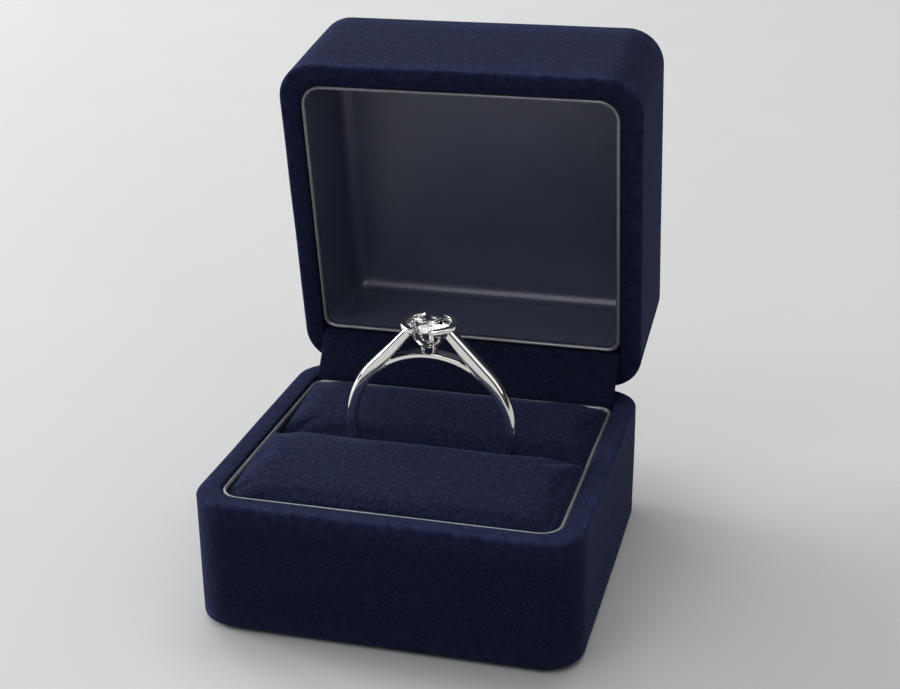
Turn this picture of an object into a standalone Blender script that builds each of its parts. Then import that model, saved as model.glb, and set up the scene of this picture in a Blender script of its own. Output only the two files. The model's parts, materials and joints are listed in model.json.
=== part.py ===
"""Small suede ring box, shown open, with a ring standing in its padded slot.

The front faces -Y, the hinge is at +Y, and the origin is the centre of the flat underside.
Lid pieces are modelled closed, as children of an empty on the hinge axis, which swings them open.
"""

from math import atan2, cos, pi, radians, sin

import bmesh
import bpy
from mathutils import Matrix, Vector

MM = 0.001

# Driving dimensions, in millimetres.
BOX_WIDTH = 45.0
BOX_DEPTH = 42.3
BASE_HEIGHT = 16.0
LID_HEIGHT = 17.3
PARTING_GAP = 0.36
CORNER_RADIUS = 4.6
EDGE_ROUND = 0.5
SMALL_ROUND = 0.3
UNDERSIDE_LIP = 3.5
RIM_WIDTH = 2.65
REAR_MARGIN = 5.2
TRIM_WIDTH = 0.55
TRIM_HEIGHT = 0.6
TRIM_SINK = 0.2
TRIM_CORNER = 2.76
WRAP = 0.5
SHELL_WALL = 1.9
SHELL_CORNER = 2.5
TRAY_WALL = 0.5
TRAY_CORNER = 2.6
TRAY_SINK = 0.95
TRAY_FLOOR = 2.6
FIT_GAP = 0.1
FOOT_PAD = 0.3

HINGE_Y = 20.85
HINGE_Z = 16.6
LID_OPEN_DEGREES = 80.4
KNUCKLE_RADIUS = 0.9
PIN_RADIUS = 0.4
LEAF = 0.4
LEAF_Y = 18.15
BASE_KNUCKLES = (4.0, 8.0)
LID_KNUCKLE = 3.8
NOTCH_HALF_WIDTH = 8.4
NOTCH_DEPTH = 1.05
RIVET_RADIUS = 0.45
RIVET_HEAD_RADIUS = 0.9
RIVET_HEAD = 0.3
SPRING_THICK = 0.2
SPRING_HALF_WIDTH = 3.0

SLOT_WIDTH = 2.5
PAD_COVER = 0.5
PAD_CREST = 16.8
PAD_FLOOR = 3.4
PAD_SIDE = 0.15
SLOT_FLOOR = 7.3

LID_CAVITY = 15.72
LINER_BACK = 0.35
LID_PAD_DEPTH = 12.54

RING_X = 0.4
RING_Z = 18.0
RING_OUTER = 10.5
RING_INNER = 9.3
RING_WIDTH = 1.8
SHOULDER_FLARE = 0.42
BRIDGE_OUTER = 10.0
BEZEL_TOP = 31.7
BEZEL_FOOT = 28.1
COLLAR_RADIUS = 3.4
WINDOW_FLOOR = 29.15
WINDOW_HALF_WIDTH = 1.0
STONE_RADIUS = 2.65
STONE_GIRDLE_Z = 31.22
STONE_TABLE_Z = 31.88
STONE_CULET_Z = 29.0

LID_RIM = BASE_HEIGHT + PARTING_GAP
LID_TOP = LID_RIM + LID_HEIGHT
HALF_WIDTH = BOX_WIDTH / 2
HALF_DEPTH = BOX_DEPTH / 2


def clear_scene():
    for old in list(bpy.data.objects):
        bpy.data.objects.remove(old, do_unlink=True)


def new_collection(name):
    made = bpy.data.collections.new(name)
    bpy.context.scene.collection.children.link(made)
    return made


def material(name, colour, roughness, metallic=0.0, alpha=1.0):
    made = bpy.data.materials.new(name)
    made.use_nodes = True
    shader = made.node_tree.nodes["Principled BSDF"]
    shader.inputs["Base Color"].default_value = (*colour, 1.0)
    shader.inputs["Roughness"].default_value = roughness
    shader.inputs["Metallic"].default_value = metallic
    shader.inputs["Alpha"].default_value = alpha
    return made


def add_object(name, mesh, collection, finish=None):
    made = bpy.data.objects.new(name, mesh)
    collection.objects.link(made)
    if finish:
        mesh.materials.append(finish)
    return made


def plan(inset, rear=None):
    """The box's outline moved in by inset, with its own inset at the hinge side: x0, x1, y0, y1."""
    rear = inset if rear is None else rear
    return -HALF_WIDTH + inset, HALF_WIDTH - inset, -HALF_DEPTH + inset, HALF_DEPTH - rear


def rounded_mesh(name, outline, z0, z1, corner, top=0.0, bottom=0.0, corner_steps=5, edge_steps=2):
    """A box with rounded upright corners, and rounded top and bottom edges where asked."""
    x0, x1, y0, y1 = outline
    bm = bmesh.new()
    bmesh.ops.create_cube(bm, size=1.0)
    bmesh.ops.scale(bm, vec=((x1 - x0) * MM, (y1 - y0) * MM, (z1 - z0) * MM), verts=bm.verts)
    middle = Vector((x0 + x1, y0 + y1, z0 + z1)) * (MM / 2)
    bmesh.ops.translate(bm, vec=middle, verts=bm.verts)
    if corner:
        upright = [e for e in bm.edges if abs(e.verts[0].co.z - e.verts[1].co.z) > 1e-6]
        bmesh.ops.bevel(
            bm, geom=upright, offset=corner * MM, segments=corner_steps, profile=0.5, affect="EDGES"
        )
    for z, radius in ((z1, top), (z0, bottom)):
        if radius:
            level = [e for e in bm.edges if all(abs(v.co.z - z * MM) < 1e-7 for v in e.verts)]
            bmesh.ops.bevel(
                bm, geom=level, offset=radius * MM, segments=edge_steps, profile=0.5, affect="EDGES"
            )
    bmesh.ops.recalc_face_normals(bm, faces=bm.faces)
    mesh = bpy.data.meshes.new(name)
    bm.to_mesh(mesh)
    bm.free()
    return mesh


def cylinder_mesh(name, centre, axis, radius, length, steps=20):
    """A cylinder whose middle is at centre, along X, Y or Z."""
    turn = {"X": Matrix.Rotation(pi / 2, 4, "Y"), "Y": Matrix.Rotation(pi / 2, 4, "X"), "Z": Matrix()}
    bm = bmesh.new()
    bmesh.ops.create_cone(
        bm,
        cap_ends=True,
        segments=steps,
        radius1=radius * MM,
        radius2=radius * MM,
        depth=length * MM,
        matrix=Matrix.Translation(Vector(centre) * MM) @ turn[axis],
    )
    mesh = bpy.data.meshes.new(name)
    bm.to_mesh(mesh)
    bm.free()
    return mesh


def turned_mesh(name, profile, centre, steps=32):
    """A profile of (radius, z) points turned about the upright axis through centre. It either
    closes on itself or starts and ends on the axis."""
    bm = bmesh.new()
    rings = []
    for radius, z in profile:
        ring = []
        for step in range(steps):
            angle = 2 * pi * step / steps
            ring.append(bm.verts.new((radius * MM * cos(angle), radius * MM * sin(angle), z * MM)))
        rings.append(ring)
    pairs = list(zip(rings, rings[1:]))
    if profile[0][0]:
        pairs.append((rings[-1], rings[0]))
    for lower, upper in pairs:
        for step in range(steps):
            after = (step + 1) % steps
            bm.faces.new((lower[step], lower[after], upper[after], upper[step]))
    bmesh.ops.remove_doubles(bm, verts=bm.verts, dist=1e-7)
    bmesh.ops.translate(bm, vec=Vector((centre[0], centre[1], 0)) * MM, verts=bm.verts)
    bmesh.ops.recalc_face_normals(bm, faces=bm.faces)
    mesh = bpy.data.meshes.new(name)
    bm.to_mesh(mesh)
    bm.free()
    return mesh


def shape_with(target, mesh, operation):
    """Cuts the mesh from the target, or joins it on, with a Boolean that stays on the object."""
    tool = add_object(f"{target.name}_{operation.lower()}", mesh, CUTTERS)
    tool.hide_render = True
    tool.display_type = "WIRE"
    tool.parent = target.parent
    change = target.modifiers.new(mesh.name, "BOOLEAN")
    change.operation = operation
    change.solver = "EXACT"
    change.object = tool


def cut(target, mesh):
    shape_with(target, mesh, "DIFFERENCE")


def join(target, mesh):
    shape_with(target, mesh, "UNION")


def hinge_notch(name, z0, z1):
    return rounded_mesh(
        name, (-NOTCH_HALF_WIDTH, NOTCH_HALF_WIDTH, 17.0, HALF_DEPTH + 1.5), z0, z1, 0
    )


def part(name, mesh, finish, parent=None):
    made = add_object(name, mesh, BOX, finish)
    made.parent = parent
    return made


def wrap_skin(name, bottom, top, rim, parent):
    """The suede cover: outer walls and the rim turned in at the opening. The base's also has a lip
    under the shell."""
    skin = part(
        name,
        rounded_mesh(name, plan(0), bottom, top, CORNER_RADIUS, EDGE_ROUND, EDGE_ROUND),
        SUEDE,
        parent,
    )
    cut(
        skin,
        rounded_mesh(
            "inside",
            plan(WRAP),
            bottom + WRAP,
            top - WRAP,
            CORNER_RADIUS - WRAP,
            SMALL_ROUND,
            SMALL_ROUND,
        ),
    )
    rim_span = (rim - 1.0, rim + 1.0)
    cut(skin, rounded_mesh("mouth", plan(RIM_WIDTH - FIT_GAP), *rim_span, TRIM_CORNER + FIT_GAP))
    if rim == top:
        lip = plan(UNDERSIDE_LIP)
        cut(skin, rounded_mesh("underside", lip, bottom - 1.0, bottom + 1.0, 2.0))
    return skin


def shell(name, bottom, top, cavity, parent):
    """The moulded shell: cavity is the z span cut out of it."""
    outer = WRAP + FIT_GAP
    made = part(
        name,
        rounded_mesh(
            name, plan(outer), bottom, top, CORNER_RADIUS - outer, SMALL_ROUND, SMALL_ROUND
        ),
        SHELL,
        parent,
    )
    cut(made, rounded_mesh("cavity", plan(outer + SHELL_WALL), *cavity, SHELL_CORNER))
    return made


def tray(name, bottom, top, cavity, parent, finish):
    """The thin liner inside the rim, with the deeper margin at the hinge side."""
    inset = RIM_WIDTH + FIT_GAP
    rear = REAR_MARGIN + FIT_GAP
    made = part(name, rounded_mesh(name, plan(inset, rear), bottom, top, TRAY_CORNER), finish, parent)
    inner = plan(inset + TRAY_WALL, rear + TRAY_WALL)
    cut(made, rounded_mesh("cavity", inner, *cavity, TRAY_CORNER - TRAY_WALL))
    return made


def trim_ring(name, bottom, top, parent):
    """The pale bead that edges the opening."""
    made = part(
        name,
        rounded_mesh(name, plan(RIM_WIDTH, REAR_MARGIN), bottom, top, TRIM_CORNER, 0.2, 0.2),
        TRIM,
        parent,
    )
    inner = plan(RIM_WIDTH + TRIM_WIDTH, REAR_MARGIN + TRIM_WIDTH)
    cut(made, rounded_mesh("mouth", inner, bottom - 1.0, top + 1.0, TRIM_CORNER - TRIM_WIDTH))
    return made


def padded_block(name, y0, y1):
    """A foam block and its suede cover, which is open underneath."""
    side = HALF_WIDTH - RIM_WIDTH - FIT_GAP - TRAY_WALL - PAD_SIDE
    cover = part(
        f"{name}_pad_cover",
        rounded_mesh(name, (-side, side, y0, y1), PAD_FLOOR, PAD_CREST, 2.8, 2.5, 0, 4, 4),
        PAD_SUEDE,
    )
    inner = side - PAD_COVER
    hollow = (-inner, inner, y0 + PAD_COVER, y1 - PAD_COVER)
    cut(
        cover,
        rounded_mesh("hollow", hollow, PAD_FLOOR - 1.0, PAD_CREST - PAD_COVER, 2.3, 2.0, 0, 4, 4),
    )
    reach = inner - FIT_GAP
    block = (-reach, reach, hollow[2] + FIT_GAP, hollow[3] - FIT_GAP)
    crest = PAD_CREST - PAD_COVER - FIT_GAP
    part(
        f"{name}_pad_foam",
        rounded_mesh(name, block, PAD_FLOOR, crest, 2.2, 1.9, 0, 4, 4),
        FOAM,
    )


def rivet(name, x, z, through, parent):
    """A rivet along Y: its head in front of the leaf, its shank in the shell wall. through is the
    thickness of what it holds besides the leaf."""
    start = LEAF_Y - FIT_GAP - RIVET_HEAD / 2 - through
    end = 20.3
    made = part(
        name,
        cylinder_mesh(name, (x, start, z), "Y", RIVET_HEAD_RADIUS, RIVET_HEAD, 16),
        STEEL,
        parent,
    )
    shank = cylinder_mesh("shank", (x, (start + end) / 2, z), "Y", RIVET_RADIUS, end - start, 16)
    join(made, shank)
    return made


def rivet_hole(target, x, z):
    length = 4.4
    cut(
        target,
        cylinder_mesh("rivet_hole", (x, 20.4 - length / 2, z), "Y", RIVET_RADIUS + 0.05, length, 16),
    )


def knuckle(target, x0, x1):
    centre = ((x0 + x1) / 2, HINGE_Y, HINGE_Z)
    join(target, cylinder_mesh("knuckle", centre, "X", KNUCKLE_RADIUS, x1 - x0, 24))


def pin_bore(target):
    bore = cylinder_mesh("pin_bore", (0, HINGE_Y, HINGE_Z), "X", PIN_RADIUS + 0.05, 20.0, 24)
    cut(target, bore)


def build_base():
    """The base and everything in it but the hinge. It returns the shell, which the rivets pass."""
    rim = BASE_HEIGHT
    notch_floor = rim - NOTCH_DEPTH
    wrap_bottom = FOOT_PAD + FIT_GAP
    skin = wrap_skin("base_wrap", wrap_bottom, rim, rim, None)
    cut(skin, hinge_notch("notch", notch_floor, rim + 2.0))

    shell_bottom = wrap_bottom + WRAP + FIT_GAP
    shell_top = rim - WRAP - FIT_GAP
    casing = shell("base_shell", shell_bottom, shell_top, (2.4, rim + 1.0), None)
    cut(casing, hinge_notch("notch", notch_floor, rim + 2.0))

    part("base_foot_pad", rounded_mesh("foot", plan(1.6), 0, FOOT_PAD, 3.2), FELT)
    tray("base_tray", TRAY_FLOOR, rim - TRAY_SINK, (TRAY_FLOOR + TRAY_WALL, rim + 1.0), None, TRAY)
    trim_top = rim - TRIM_SINK
    trim_ring("base_trim_ring", trim_top - TRIM_HEIGHT, trim_top, None)

    front_edge = -HALF_DEPTH + RIM_WIDTH + FIT_GAP + TRAY_WALL + PAD_SIDE
    rear_edge = HALF_DEPTH - REAR_MARGIN - FIT_GAP - TRAY_WALL - PAD_SIDE
    padded_block("front", front_edge, -SLOT_WIDTH / 2)
    padded_block("rear", SLOT_WIDTH / 2, rear_edge)
    strip = (-19.0, 19.0, -SLOT_WIDTH / 2 + 0.15, SLOT_WIDTH / 2 - 0.15)
    part("ring_slot_foam", rounded_mesh("strip", strip, PAD_FLOOR, SLOT_FLOOR, 0.4), FOAM)
    return casing


def build_base_hinge(casing):
    """The fixed leaf with its two outer knuckles, its rivets, the pin and the snap spring."""
    rivet_z = 12.0
    outer = BASE_KNUCKLES[1]
    plate = (-outer, outer, LEAF_Y, LEAF_Y + LEAF)
    arm_bottom = 15.25
    arm_top = 15.85
    leaf = part("hinge_base_leaf", rounded_mesh("leaf", plate, 9.0, arm_top, 0), STEEL)
    for side in (-1, 1):
        x0, x1 = sorted((side * BASE_KNUCKLES[0], side * BASE_KNUCKLES[1]))
        join(leaf, rounded_mesh("arm", (x0, x1, LEAF_Y, HINGE_Y), arm_bottom, arm_top, 0))
        knuckle(leaf, x0, x1)
    middle = BASE_KNUCKLES[0]
    cut(leaf, rounded_mesh("spring_gap", (-middle, middle, 17.0, 19.5), 15.0, 17.0, 0))
    pin_bore(leaf)
    for name, x in (("left", -5.8), ("right", 5.8)):
        rivet(f"hinge_base_rivet_{name}", x, rivet_z, 0, None)
        rivet_hole(leaf, x, rivet_z)
        rivet_hole(casing, x, rivet_z)

    part(
        "hinge_pin",
        cylinder_mesh("pin", (0, HINGE_Y, HINGE_Z), "X", PIN_RADIUS, 2 * outer + 0.4, 20),
        STEEL,
    )

    tongue_bottom = 15.25
    tongue_top = tongue_bottom + 0.25
    spring_y = LEAF_Y - FIT_GAP
    spring_front = spring_y - SPRING_THICK
    blade = (-SPRING_HALF_WIDTH, SPRING_HALF_WIDTH, spring_front, spring_y)
    spring = part("snap_spring", rounded_mesh("blade", blade, 9.6, tongue_top, 0), SPRING_STEEL)
    tongue = (-SPRING_HALF_WIDTH, SPRING_HALF_WIDTH, spring_front, HINGE_Y + 0.6)
    join(spring, rounded_mesh("tongue", tongue, tongue_bottom, tongue_top, 0))
    rivet("snap_spring_rivet", 0, rivet_z, FIT_GAP + SPRING_THICK, None)
    for target in (spring, leaf, casing):
        rivet_hole(target, 0, rivet_z)


def build_hinge_flap():
    """The suede strip from the back of the base tray up to the lower edge of the lid liner."""
    thick = 0.4
    margin_y = HALF_DEPTH - REAR_MARGIN + 0.35
    low = Vector((0, margin_y, BASE_HEIGHT + 0.05))
    swing = Matrix.Rotation(radians(-LID_OPEN_DEGREES), 3, "X")
    axis = Vector((0, HINGE_Y, HINGE_Z))
    high = axis + swing @ (Vector((0, margin_y, LID_RIM - 0.05)) - axis)
    run = high - low
    half = HALF_WIDTH - RIM_WIDTH - 0.15
    mesh = rounded_mesh("strip", (-half, half, 0, run.length), -thick / 2, thick / 2, 0)
    strip = part("hinge_flap", mesh, SUEDE)
    strip.location = low * MM
    strip.rotation_euler = (atan2(run.z, run.y), 0, 0)


def build_lid(lid_axis):
    """The lid, closed: its cover, shell, liner, trim, soft panel and hinge leaf."""
    rim = LID_RIM
    notch_top = HINGE_Z + KNUCKLE_RADIUS + 0.8
    skin = wrap_skin("lid_wrap", rim, LID_TOP, rim, lid_axis)
    cut(skin, hinge_notch("notch", rim - 2.0, notch_top))

    shell_span = (rim + WRAP + FIT_GAP, LID_TOP - WRAP - FIT_GAP)
    shell_cavity = (rim - 1.0, rim + LID_CAVITY + LINER_BACK + FIT_GAP)
    casing = shell("lid_shell", *shell_span, shell_cavity, lid_axis)
    cut(casing, hinge_notch("notch", rim - 2.0, notch_top))

    cavity = (rim - 1.0, rim + LID_CAVITY)
    tray("lid_liner", rim + TRAY_SINK, rim + LID_CAVITY + LINER_BACK, cavity, lid_axis, SATIN)
    trim_low = rim + TRIM_SINK
    trim_ring("lid_trim_ring", trim_low, trim_low + TRIM_HEIGHT, lid_axis)
    build_lid_pad(lid_axis)
    build_lid_hinge(casing, lid_axis)


def build_lid_pad(lid_axis):
    """The soft panel at the back of the lid: a foam sheet under satin."""
    face = LID_RIM + LID_PAD_DEPTH
    back = LID_RIM + LID_CAVITY - FIT_GAP
    inset = RIM_WIDTH + FIT_GAP + TRAY_WALL + PAD_SIDE
    rear = REAR_MARGIN + FIT_GAP + TRAY_WALL + PAD_SIDE
    skin = 0.3
    cover = part(
        "lid_pad_cover",
        rounded_mesh("cover", plan(inset, rear), face, back, 2.0, 0, 0.6),
        SATIN,
        lid_axis,
    )
    hollow = plan(inset + skin, rear + skin)
    cut(cover, rounded_mesh("hollow", hollow, face + skin, back + 1.0, 1.7, 0, 0.4))
    foam = plan(inset + skin + FIT_GAP, rear + skin + FIT_GAP)
    part(
        "lid_pad_foam",
        rounded_mesh("foam", foam, face + skin + FIT_GAP, back, 1.6, 0, 0.4),
        FOAM,
        lid_axis,
    )


def build_lid_hinge(casing, lid_axis):
    """The lid's leaf with the middle knuckle, and its two rivets."""
    rivet_z = 21.5
    arm_bottom = 17.35
    arm_top = 17.95
    plate = (-6.5, 6.5, LEAF_Y, LEAF_Y + LEAF)
    leaf = part("hinge_lid_leaf", rounded_mesh("leaf", plate, arm_bottom, 24.5, 0), STEEL, lid_axis)
    arm = (-LID_KNUCKLE, LID_KNUCKLE, LEAF_Y, HINGE_Y)
    join(leaf, rounded_mesh("arm", arm, arm_bottom, arm_top, 0))
    knuckle(leaf, -LID_KNUCKLE, LID_KNUCKLE)
    pin_bore(leaf)
    for name, x in (("left", -4.5), ("right", 4.5)):
        rivet(f"hinge_lid_rivet_{name}", x, rivet_z, 0, lid_axis)
        rivet_hole(leaf, x, rivet_z)
        rivet_hole(casing, x, rivet_z)


def on_ring(radius, degrees):
    return Vector((radius * cos(radians(degrees)), radius * sin(radians(degrees))))


def shank_outlines():
    """The shank in the plane of the ring, about its centre: its outside, and the space between
    the shoulders and the bridge under the stone."""
    tangent = 47
    outside = []
    for step in range(57):
        degrees = 180 - tangent + step * (180 + 2 * tangent) / 56
        rise = max(0.0, sin(radians(degrees))) / sin(radians(tangent))
        outside.append(on_ring(RING_OUTER + SHOULDER_FLARE * rise**2, degrees))
    shoulder_top = (2.75, BEZEL_TOP - 1.0 - RING_Z)
    outside += [Vector(shoulder_top), Vector((-shoulder_top[0], shoulder_top[1]))]

    gap_end = 57.4
    gap = [on_ring(BRIDGE_OUTER, gap_end + step * (180 - 2 * gap_end) / 10) for step in range(11)]
    gap_top = BEZEL_TOP - 1.6 - RING_Z
    gap += [Vector((-1.2, gap_top)), Vector((1.2, gap_top))]
    return outside, gap


def prism_mesh(name, outline, half_width, rounding=0.0):
    """An outline in the plane of the ring, made half_width thick to each side of it."""
    bm = bmesh.new()
    corners = [bm.verts.new((p.x * MM, -half_width * MM, p.y * MM)) for p in outline]
    front = bm.faces.new(corners)
    extruded = bmesh.ops.extrude_face_region(bm, geom=[front])["geom"]
    moved = [item for item in extruded if isinstance(item, bmesh.types.BMVert)]
    bmesh.ops.translate(bm, vec=(0, 2 * half_width * MM, 0), verts=moved)
    if rounding:
        level = [e for e in bm.edges if abs(e.verts[0].co.y - e.verts[1].co.y) < 1e-9]
        bmesh.ops.bevel(
            bm, geom=level, offset=rounding * MM, segments=2, profile=0.5, affect="EDGES"
        )
    bmesh.ops.translate(bm, vec=Vector((RING_X, 0, RING_Z)) * MM, verts=bm.verts)
    bmesh.ops.recalc_face_normals(bm, faces=bm.faces)
    mesh = bpy.data.meshes.new(name)
    bm.to_mesh(mesh)
    bm.free()
    return mesh


def bezel_profile(grow=0.0):
    """Outside of the setting as (radius, z): a collar over a cup that narrows to its foot."""
    top = BEZEL_TOP + grow
    return [
        (COLLAR_RADIUS + grow, top),
        (COLLAR_RADIUS + grow, BEZEL_TOP - 0.75 - grow),
        (2.85 + grow, BEZEL_TOP - 1.15 - grow / 2),
        (1.05 + grow, BEZEL_FOOT - grow),
    ]


def build_ring():
    outside, gap = shank_outlines()
    band = part("ring_band", prism_mesh("shank", outside, RING_WIDTH / 2, 0.3), WHITE_GOLD)
    cut(band, cylinder_mesh("finger_hole", (RING_X, 0, RING_Z), "Y", RING_INNER, 6.0, 56))
    cut(band, prism_mesh("shoulder_gap", gap, 3.0))
    clear = 0.08
    envelope = [(0, BEZEL_FOOT - clear)] + bezel_profile(clear)[::-1] + [(0, BEZEL_TOP + clear)]
    cut(band, turned_mesh("setting_space", envelope, (RING_X, 0), 24))

    seat = BEZEL_TOP - 0.6
    inside = [(0.55, BEZEL_FOOT), (1.95, seat - 0.75), (2.75, seat), (2.75, seat + 0.28)]
    inside += [(2.6, seat + 0.43), (2.6, BEZEL_TOP)]
    setting = part(
        "ring_bezel",
        turned_mesh("setting", bezel_profile() + inside, (RING_X, 0), 32),
        WHITE_GOLD,
    )
    window = WINDOW_HALF_WIDTH
    round_end = WINDOW_FLOOR + window
    opening = (RING_X - window, RING_X + window, -5.0, 5.0)
    cut(setting, rounded_mesh("window", opening, round_end, BEZEL_TOP + 1.0, 0))
    cut(setting, cylinder_mesh("window_end", (RING_X, 0, round_end), "Y", window, 10.0, 20))
    part("ring_stone", brilliant_mesh(), STONE)


def brilliant_mesh():
    """A round brilliant: table, crown mains, girdle and pavilion mains, as the hull of its corners."""
    bm = bmesh.new()

    def ring(radius, z, count, turn=0.0):
        for step in range(count):
            angle = 2 * pi * (step + turn) / count
            x = RING_X + radius * cos(angle)
            bm.verts.new((x * MM, radius * sin(angle) * MM, z * MM))

    girdle = 0.1
    ring(1.55, STONE_TABLE_Z, 8, 0.5)
    ring(2.16, STONE_GIRDLE_Z + 0.36, 8)
    ring(STONE_RADIUS, STONE_GIRDLE_Z + girdle / 2, 16, 0.5)
    ring(STONE_RADIUS, STONE_GIRDLE_Z - girdle / 2, 16, 0.5)
    ring(0.62, STONE_CULET_Z + 0.44, 8)
    bm.verts.new((RING_X * MM, 0, STONE_CULET_Z * MM))
    hull = bmesh.ops.convex_hull(bm, input=bm.verts)
    bmesh.ops.delete(bm, geom=hull["geom_interior"], context="VERTS")
    bmesh.ops.recalc_face_normals(bm, faces=bm.faces)
    mesh = bpy.data.meshes.new("stone")
    bm.to_mesh(mesh)
    bm.free()
    return mesh


clear_scene()
BOX = new_collection("ring_box")
CUTTERS = new_collection("cutters")

SUEDE = material("navy_suede", (0.012, 0.017, 0.06), 0.9)
PAD_SUEDE = material("navy_suede_pads", (0.018, 0.024, 0.075), 0.92)
SHELL = material("dark_moulded_shell", (0.02, 0.02, 0.03), 0.6)
TRAY = material("dark_tray", (0.03, 0.033, 0.05), 0.6)
SATIN = material("grey_navy_satin", (0.05, 0.06, 0.11), 0.35)
TRIM = material("pale_trim", (0.45, 0.46, 0.48), 0.3, 0.6)
FOAM = material("grey_foam", (0.2, 0.2, 0.22), 0.95)
FELT = material("navy_felt", (0.01, 0.012, 0.03), 0.95)
STEEL = material("hinge_steel", (0.5, 0.5, 0.52), 0.35, 1.0)
SPRING_STEEL = material("spring_steel", (0.3, 0.31, 0.34), 0.3, 1.0)
WHITE_GOLD = material("polished_white_gold", (0.85, 0.84, 0.82), 0.08, 1.0)
STONE = material("clear_stone", (0.95, 0.95, 0.97), 0.0, 0.0, 0.35)

build_base_hinge(build_base())
build_hinge_flap()

LID_AXIS = bpy.data.objects.new("lid_axis", None)
BOX.objects.link(LID_AXIS)
HINGE_POINT = Vector((0, HINGE_Y, HINGE_Z)) * MM
build_lid(LID_AXIS)
# Every lid mesh is written closed in world space, so the empty swings them about the hinge line.
SWING = Matrix.Rotation(radians(-LID_OPEN_DEGREES), 4, "X")
LID_AXIS.matrix_world = Matrix.Translation(HINGE_POINT) @ SWING
for child in [*BOX.objects, *CUTTERS.objects]:
    if child.parent == LID_AXIS:
        child.matrix_parent_inverse = Matrix.Translation(-HINGE_POINT)

build_ring()

for piece in BOX.objects:
    if piece.type == "MESH":
        piece.data.shade_smooth()
        piece.data.set_sharp_from_angle(angle=radians(40))
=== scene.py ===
"""Looks of the suede ring box: suede covers, padded slot, satin lid lining and the ring.

Lengths are in millimetres and become metres when a mesh is made. Lid pieces are modelled closed,
in the base's frame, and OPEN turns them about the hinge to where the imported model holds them.
"""

import json
from math import cos, pi, radians, sin, tan

import bmesh
import bpy
from mathutils import Matrix, Quaternion, Vector, noise


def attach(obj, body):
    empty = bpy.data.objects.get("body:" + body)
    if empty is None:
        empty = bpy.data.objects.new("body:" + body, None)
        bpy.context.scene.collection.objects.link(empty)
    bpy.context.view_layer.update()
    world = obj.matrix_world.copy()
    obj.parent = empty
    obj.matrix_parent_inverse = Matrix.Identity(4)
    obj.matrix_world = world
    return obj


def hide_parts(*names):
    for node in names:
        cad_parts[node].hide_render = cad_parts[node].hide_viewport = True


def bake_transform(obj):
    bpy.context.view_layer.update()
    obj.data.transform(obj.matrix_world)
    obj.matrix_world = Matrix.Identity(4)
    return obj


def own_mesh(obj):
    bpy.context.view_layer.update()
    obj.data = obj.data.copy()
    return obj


MM = 0.001

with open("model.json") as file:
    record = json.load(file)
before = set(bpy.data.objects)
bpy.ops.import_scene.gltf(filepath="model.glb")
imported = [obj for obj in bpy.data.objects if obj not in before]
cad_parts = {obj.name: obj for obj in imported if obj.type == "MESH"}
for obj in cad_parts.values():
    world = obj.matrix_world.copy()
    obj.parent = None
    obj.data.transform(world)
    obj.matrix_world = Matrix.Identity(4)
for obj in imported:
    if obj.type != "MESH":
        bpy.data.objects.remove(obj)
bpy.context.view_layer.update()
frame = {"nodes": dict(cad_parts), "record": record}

LID_JOINT = next(j for j in frame["record"]["behaviour"]["joints"] if j["name"] == "lid_hinge")
HINGE = Vector(LID_JOINT["pos_m"]) / MM
OPEN_ANGLE = radians(LID_JOINT["range_deg"][1])
OPEN = Matrix.Translation(HINGE) @ Matrix.Rotation(-OPEN_ANGLE, 4, "X") @ Matrix.Translation(-HINGE)
CLOSED = OPEN.inverted()


def node_box(name, turn=Matrix()):
    """Lowest and highest corner of a CAD node in millimetres, after turning it."""
    points = [turn @ (v.co / MM) for v in frame["nodes"][name].data.vertices]
    low = Vector([min(p[k] for p in points) for k in range(3)])
    high = Vector([max(p[k] for p in points) for k in range(3)])
    return low, high


BASE_LOW, BASE_HIGH = node_box("base_wrap")
LID_LOW, LID_HIGH = node_box("lid_wrap", CLOSED)
TRIM_LOW, TRIM_HIGH = node_box("base_trim_ring")
LID_TRIM_LOW, LID_TRIM_HIGH = node_box("lid_trim_ring", CLOSED)
LINER_LOW, LINER_HIGH = node_box("lid_liner", CLOSED)
PANEL_LOW, PANEL_HIGH = node_box("lid_pad_cover", CLOSED)
BAND_LOW, BAND_HIGH = node_box("ring_band")
BEZEL_LOW, BEZEL_HIGH = node_box("ring_bezel")

HALF_WIDTH = BASE_HIGH.x
HALF_DEPTH = BASE_HIGH.y
RIM = BASE_HIGH.z
LID_RIM = LID_LOW.z
OUTER_CORNER = 4.6
MOUTH_INSET = 2.6
MOUTH_CORNER = 2.86
COVER = 0.5
BEAD_FRONT_CORNER = 2.76
BEAD_REAR_CORNER = 1.7
CORNER_STEPS = 12
SIDE_STEPS = 22


# ---------------------------------------------------------------- shapes


def rounded_loop(x0, x1, y0, y1, z, corner, rear_corner=None, side_steps=SIDE_STEPS):
    """Points round a rounded rectangle, anticlockwise from the front right corner."""
    rear_corner = corner if rear_corner is None else rear_corner
    corners = (
        (x1 - corner, y0 + corner, corner, -90),
        (x1 - rear_corner, y1 - rear_corner, rear_corner, 0),
        (x0 + rear_corner, y1 - rear_corner, rear_corner, 90),
        (x0 + corner, y0 + corner, corner, 180),
    )
    points = []
    for cx, cy, radius, start in corners:
        for step in range(CORNER_STEPS + 1):
            angle = radians(start + 90 * step / CORNER_STEPS)
            points.append(Vector((cx + radius * cos(angle), cy + radius * sin(angle), z)))
    full = []
    for index, point in enumerate(points):
        full.append(point)
        if index % (CORNER_STEPS + 1) == CORNER_STEPS:
            after = points[(index + 1) % len(points)]
            full += [point.lerp(after, step / side_steps) for step in range(1, side_steps)]
    return full


def arc(cu, cz, radius, start, end, steps=6):
    """Points (u, z) on an arc from start to end, in degrees."""
    angles = [radians(start + (end - start) * step / steps) for step in range(steps + 1)]
    return [(cu + radius * cos(a), cz + radius * sin(a)) for a in angles]


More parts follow.
